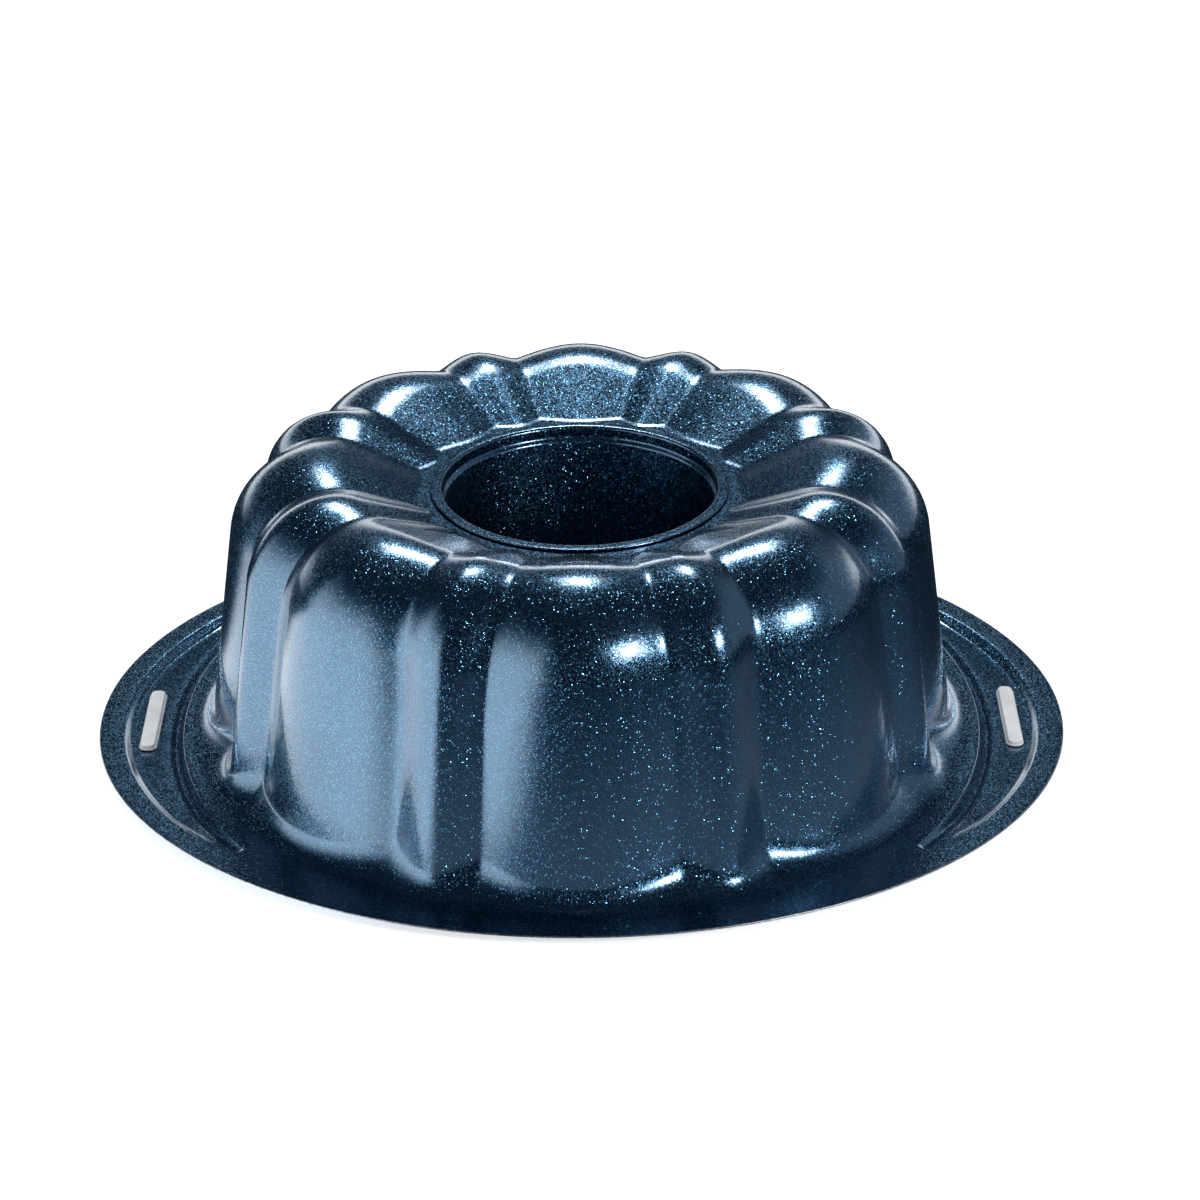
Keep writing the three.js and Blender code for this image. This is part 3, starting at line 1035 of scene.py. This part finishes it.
@dataclass
class GripInsert:
    """Silicone plug through a handle's slot: ledge, raised head, neck and low head beneath. Sizes in mm."""

    shell: PanShell
    side: Side
    length: float = 37.0        # over the ledge
    width: float = 5.4          # over the ledge
    height: float = 1.6         # of ledge and head together
    corner: float = 2.3
    ledge: float = 0.45         # height of the thin ledge round the head's foot
    ledge_inset: float = 0.35
    ledge_slope: float = 0.08   # rise of the ledge's top towards the head
    soft_edge: float = 0.12     # height of the ledge's lower and upper soft edge
    foot_inset: float = 0.15    # how far the ledge's lower edge is drawn in
    top_inset: float = 0.1      # how far its upper edge is drawn in
    head_draft: float = 0.12    # how far the head leans in
    edge_round: float = 0.6
    edge_steps: int = 6
    under_overlap: float = 1.0
    under_round: float = 0.35   # round along the edge of the low head
    under_middle: float = 0.1   # how far the middle of that round lies from the edge's corner
    least_corner: float = 0.3
    corner_steps: int = 10

    @property
    def node(self) -> str:
        """Name of the frame's node that the plug stands for."""
        return f"grip_insert_{self.side.name.lower()}"

    def _ring(self, inset: float, height: float) -> np.ndarray:
        """Outline of the plug at one height.

        Args:
            inset: how far the outline lies inside the ledge's own.
            height: height above the rest plane.

        Returns:
            The xyz points.
        """
        half_width, half_length = self.width / 2 - inset, self.length / 2 - inset
        corner = max(min(self.corner - inset, FULL_ROUND * half_width), self.least_corner)
        middle = self.side.value * self.shell.panel_middle
        return bar_ring(middle, height, half_width, half_length, corner, self.corner_steps)

    def build(self) -> Object:
        """Make the plug as one closed loft from its underside to its top.

        Returns:
            The plug's object.
        """
        shell = self.shell
        gap = shell.fit_gap
        neck_inset = self.width / 2 - shell.slot_width / 2 + gap
        under_inset = self.width / 2 - shell.slot_width / 2 - self.under_overlap
        under_top = shell.panel_top - shell.sheet - gap
        foot = shell.panel_top + gap
        ledge_top = foot + self.ledge
        top = foot + self.height
        sections = [(under_inset + self.under_round, gap),
                    (under_inset + self.under_middle, gap + self.under_middle),
                    (under_inset, gap + self.under_round), (under_inset, under_top),
                    (neck_inset, under_top), (neck_inset, foot),
                    (self.foot_inset, foot), (0.0, foot + self.soft_edge),
                    (0.0, ledge_top - self.soft_edge), (self.top_inset, ledge_top),
                    (self.ledge_inset, ledge_top + self.ledge_slope)]
        head_inset = self.ledge_inset + self.head_draft
        for turn in np.linspace(0, math.pi / 2, self.edge_steps + 1):
            sections.append((head_inset + self.edge_round * (1 - math.cos(turn)),
                             top - self.edge_round * (1 - math.sin(turn))))
        rings = np.stack([self._ring(inset, height) for inset, height in sections])
        plug = capped_loft(f"{self.node}_plug", rings)
        plug.data.set_sharp_from_angle(angle=SHARP_EDGE)
        return plug

    def dress(self, piece: Object, finishes: PanFinishes) -> None:
        """Give the plug its rubber."""
        place_in_frame(piece, [finishes.rubber], self.node)


@dataclass(frozen=True)
class SoftBox:
    """Rectangular studio lamp aimed at a point. Places and sizes in metres, radiance in plain units."""

    name: str
    place: tuple[float, float, float]
    size: tuple[float, float]
    radiance: float
    aim: tuple[float, float, float] = (0.0, 0.0, 0.05)
    mirrored: bool = True       # whether glossy surfaces show it

    def build(self) -> None:
        """Make the lamp."""
        lamp = bpy.data.lights.new(self.name, "AREA")
        lamp.shape = "RECTANGLE"
        lamp.size, lamp.size_y = self.size
        lamp.energy = self.radiance * math.pi * self.size[0] * self.size[1]
        lit = bpy.data.objects.new(self.name, lamp)
        lit.location = self.place
        lit.rotation_euler = (Vector(self.aim) - Vector(self.place)).to_track_quat("-Z", "Y").to_euler()
        lit.visible_camera = False
        lit.visible_glossy = self.mirrored
        bpy.context.collection.objects.link(lit)


@dataclass(frozen=True)
class BrightPatch:
    """Soft-edged patch of painted light on a studio card's glow."""

    level: float                                # glow in its middle, 1 for white
    turns: tuple[float, float, float, float]    # degrees round the pan: its start, full, fade and end
    fade_from: float = math.inf                 # reach at which it begins to fade
    fade_over: float = 1.0                      # stretch over which it fades

    def shade(self, turn: np.ndarray, reach: np.ndarray) -> np.ndarray:
        """Painted light that the patch adds to the card's glow.

        Args:
            turn: degrees round the pan from its front, left when negative.
            reach: distance from the pan's axis or degrees above the table, as the card has it.

        Returns:
            The shade at each place.
        """
        return self.level * band(turn, *self.turns) * (1 - ease((reach - self.fade_from) / self.fade_over))


@dataclass(frozen=True)
class Studio:
    """Table top, surroundings that glow in painted light and shade, and lamps. Sizes in mm, apart from the
    lamps', angles in degrees.
    """

    table_half: float = 4000.0
    table_drop: float = 0.05        # a hair below the rest plane, clear of the pan's lowest faces
    card_radii: tuple[float, ...] = (1.0, 60.0, 100.0, 130.0, 160.0, 200.0, 260.0, 340.0, 450.0, 600.0,
                                     900.0, 2300.0)
    card_lift: float = 0.2
    shaded_radius: float = 50.0     # painted shade: the floor card under the pan is dark as far as this
    shaded_edge: float = 60.0       # and grows light over this stretch
    shaded_level: float = 0.015
    floor_level: float = 0.045
    floor_patches: tuple[BrightPatch, ...] = (
        BrightPatch(1.6, (-112, -101, -42, -18)),                                   # painted light: white on the left
        BrightPatch(0.36, (-60, -30, 60, 115), fade_from=130, fade_over=330),       # painted light: pale close by in front
    )
    tent_radius: float = 2400.0
    tent_top: float = 89.0
    tent_level: float = 0.08
    # painted reflections: patches where the dome glows like a window, lit strips and a lit wall
    tent_patches: tuple[BrightPatch, ...] = (
        BrightPatch(1.6, (-112, -98, -45, -23), fade_from=2, fade_over=50),         # wide window on the left
        BrightPatch(1.5, (115, 145, 200, 210), fade_from=6, fade_over=9),           # low strip behind
        BrightPatch(1.5, (-210, -200, -145, -115), fade_from=6, fade_over=9),       # and its other half
        BrightPatch(0.34, (55, 90, 130, 158), fade_from=26, fade_over=30),          # dim wall on the right
    )
    turns: int = 120
    tent_rows: int = 30
    world_fill: float = 0.25        # strength of the world as a light

    def build(self) -> None:
        """Make the table, the cards of painted light and shade, the lamps and the world."""
        self._table()
        self._floor_card()
        self._tent()
        for lamp in self.lamps():
            lamp.build()
        self._world()

    @staticmethod
    def lamps() -> list[SoftBox]:
        """Lamps of the set: two plain fills, and two small bright lamps, each with a soft halo round it."""
        return [
            SoftBox("left_window", place=(-0.95, -0.06, 0.27), size=(1.5, 0.56), radiance=2.0,
                    aim=(0.0, -0.06, 0.2), mirrored=False),
            SoftBox("ceiling_fill", place=(0.0, -0.3, 1.4), size=(1.2, 1.2), radiance=0.9,
                    aim=(0.0, 0.0, 0.0), mirrored=False),
            SoftBox("back_overhead", place=(0.0, 0.80, 0.98), size=(0.18, 0.2), radiance=29.0),
            SoftBox("back_overhead_halo", place=(0.0, 0.82, 1.0), size=(0.4, 0.4), radiance=2.4),
            SoftBox("front_right_spot", place=(0.785, -0.75, 0.55), size=(0.2, 0.13), radiance=38.0),
            SoftBox("front_right_halo", place=(0.805, -0.77, 0.56), size=(0.5, 0.36), radiance=4.0),
        ]

    def _table(self) -> None:
        """Lay the white table top under the pan."""
        signs = np.array(((-1.0, -1.0), (1.0, -1.0), (1.0, 1.0), (-1.0, 1.0)))
        corners = np.column_stack([signs * self.table_half, np.full(len(signs), -self.table_drop)])
        table = mesh_object("table_top", corners, [(0, 1, 2, 3)])
        table.data.materials.append(WhiteTableTop().make())

    def _floor_card(self) -> None:
        """Lay a glowing card round the pan, which only reflections see: painted light where the lamps light
        the table, painted shade under the pan.
        """
        away, turn = np.meshgrid(self.card_radii, np.linspace(-180, 180, self.turns + 1), indexing="ij")
        points = around_axis(away, np.radians(turn), self.card_lift)
        lit = self.floor_level + sum(patch.shade(turn, away) for patch in self.floor_patches)
        # painted shade: the card is dark under the pan and grows light past its edge
        outside = ease((away - self.shaded_radius) / self.shaded_edge)
        self._card("floor_card", points, self.shaded_level + lit * outside)

    def _tent(self) -> None:
        """Hang a glowing half-dome round the set, which only reflections see: painted shade with patches of
        painted light.
        """
        rises = np.linspace(0, self.tent_top, self.tent_rows + 1)
        rise, turn = np.meshgrid(rises, np.linspace(-180, 180, self.turns + 1), indexing="ij")
        up = np.radians(rise)
        directions = around_axis(np.cos(up), np.radians(turn), np.sin(up))
        level = self.tent_level + sum(patch.shade(turn, rise) for patch in self.tent_patches)
        self._card("tent_cloth", self.tent_radius * directions, level)

    @staticmethod
    def _card(name: str, grid: np.ndarray, level: np.ndarray) -> None:
        """Make a card from a grid of points and keep it out of the camera's sight and out of the lamps' way.

        Args:
            name: the card's name.
            grid: points by row and column.
            level: glow at each point, the card's painted light and shade.
        """
        card = mesh_object(name, grid.reshape(-1, 3), grid_faces(*level.shape))
        card.data.attributes.new(LEVEL, "FLOAT", "POINT").data.foreach_set("value", level.ravel())
        card.data.materials.append(GlowingReflectionCard(f"painted_{name}").make())
        card.visible_camera = False
        card.visible_shadow = False
        card.visible_diffuse = False

    def _world(self) -> None:
        """Give the set a pale backdrop that is seen and mirrored, and a dim light."""
        world = bpy.data.worlds.new("pale_studio")
        world.use_nodes = True
        tree = world.node_tree
        tree.nodes.clear()
        strength = add_node(tree, "ShaderNodeMapRange", {
            "Value": seen_or_mirrored(tree), "To Min": self.world_fill, "To Max": 1.0})
        sky = add_node(tree, "ShaderNodeBackground", {
            "Color": linear(WHITE_HEX), "Strength": strength.outputs["Result"]})
        add_node(tree, "ShaderNodeOutputWorld", {"Surface": sky.outputs["Background"]})
        bpy.context.scene.world = world


@dataclass(frozen=True)
class PhotoCamera:
    """Camera at the photograph's viewpoint, fitted to the pan's outline. Sizes in mm, angles in degrees."""

    frame_px: int = 1200
    focal_px: float = 3800.0
    elevation: float = 27.0
    distance: float = 1164.0
    aim: tuple[float, float, float] = (5.93, 0.0, 44.3)
    roll: float = -0.3
    sensor: float = 36.0
    nearest: float = 50.0           # what is closer to the lens isn't drawn

    def build(self) -> None:
        """Make the camera and set it as the scene's own."""
        lens = bpy.data.cameras.new("photo_camera")
        lens.sensor_width = self.sensor
        lens.lens = self.focal_px / self.frame_px * self.sensor
        lens.clip_start = self.nearest * MM
        rise = math.radians(self.elevation)
        aim = Vector(self.aim) * MM
        place = aim + Vector((0, -math.cos(rise), math.sin(rise))) * self.distance * MM
        camera = bpy.data.objects.new("photo_camera", lens)
        camera.location = place
        turn = (aim - place).to_track_quat("-Z", "Y") @ Quaternion((0, 0, 1), math.radians(self.roll))
        camera.rotation_euler = turn.to_euler()
        bpy.context.collection.objects.link(camera)
        bpy.context.scene.camera = camera


def main() -> None:
    """Build and dress the pan piece by piece, then the set and the camera."""
    logging.basicConfig(level=logging.INFO, format="%(name)s: %(message)s")
    bpy.context.scene.view_settings.view_transform = "Standard"
    PhotoCamera().build()
    finishes = PanFinishes(coat=FlakedNonStickCoat().make(), edge=TrimmedSteelEdge().make(),
                           rubber=MouldedSilicone().make())
    shell = PanShell()
    parts = [shell, CentreTube(shell), *(GripInsert(shell, side) for side in Side)]
    for part in parts:
        piece = part.build()
        part.dress(piece, finishes)
        log.info("%s: %d faces", piece.name, len(piece.data.polygons))
    Studio().build()


if __name__ == "__main__":
    main()
